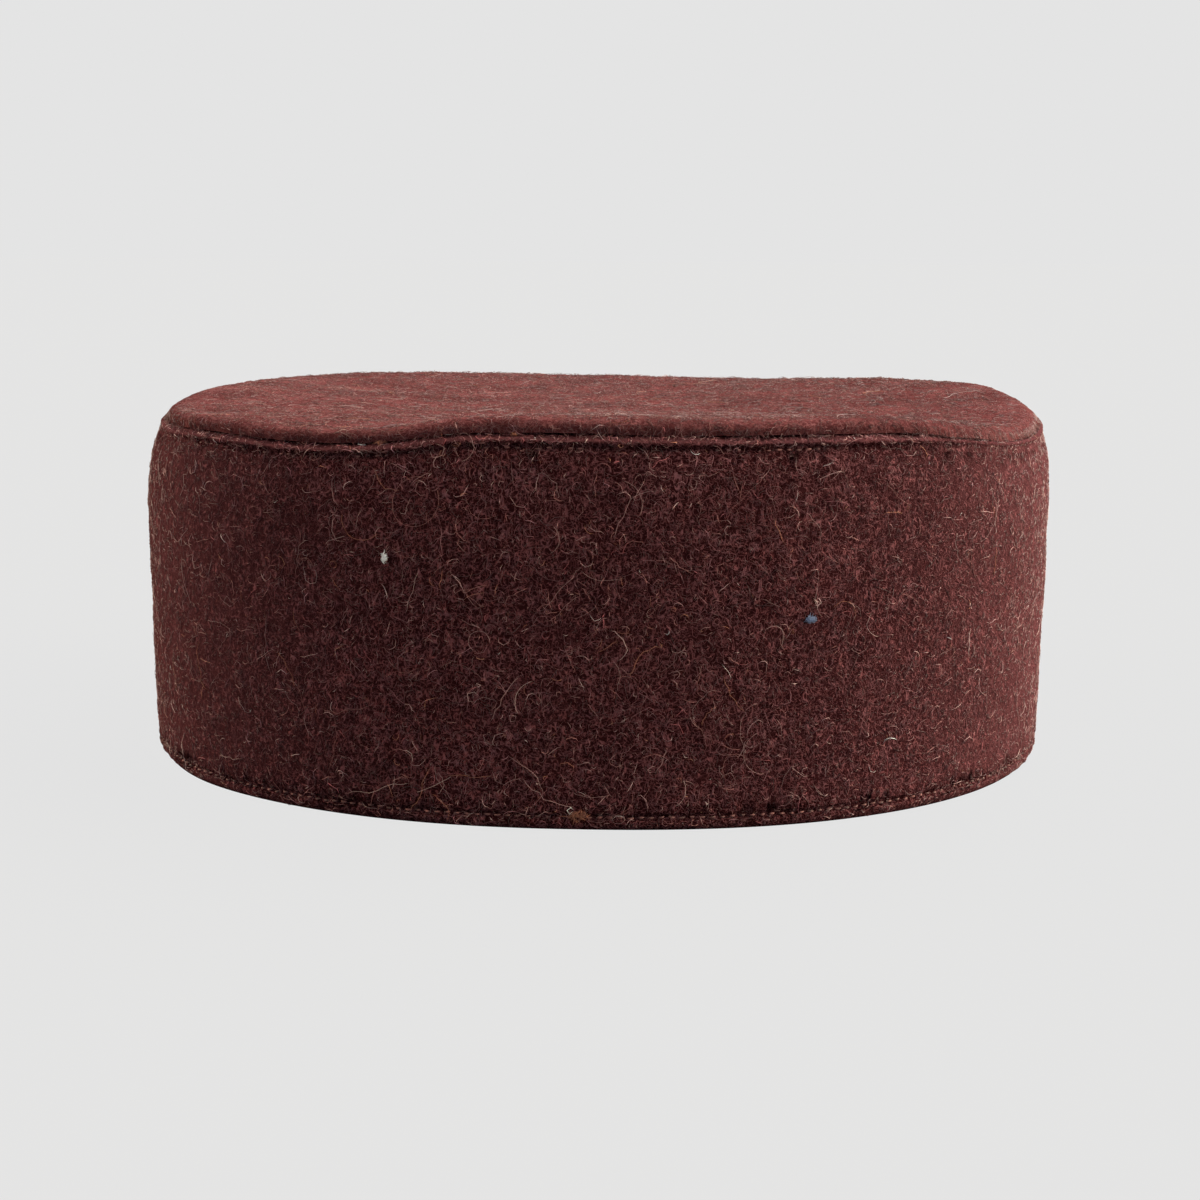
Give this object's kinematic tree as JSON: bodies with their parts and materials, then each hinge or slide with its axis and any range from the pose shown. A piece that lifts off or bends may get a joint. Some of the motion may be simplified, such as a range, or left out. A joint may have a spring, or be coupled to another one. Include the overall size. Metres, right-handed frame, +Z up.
{
  "type": "kufi cap",
  "caption": "Flat-topped brimless cap in thick brushed wool cloth: an oval crown panel over an upright side band with a topstitched seam and a turned-up hem.",
  "frame": {"origin": "middle of the cap's box at the rim's plane, where the cap rests on a surface", "axes": "+X along the longer way of the oval, towards the band's closing seam; +Y across it; +Z up, from the rim to the crown"},
  "size_m": [0.206, 0.1729, 0.0793],
  "materials": {
    "band_wool": "brushed dark brown wool, matt, with a short curly nap",
    "crown_wool": "brushed brown wool, matt, with a short curly nap"
  },
  "bodies": {
    "root": {"side_band": "band_wool", "crown_panel": "crown_wool"}
  },
  "joints": []
}
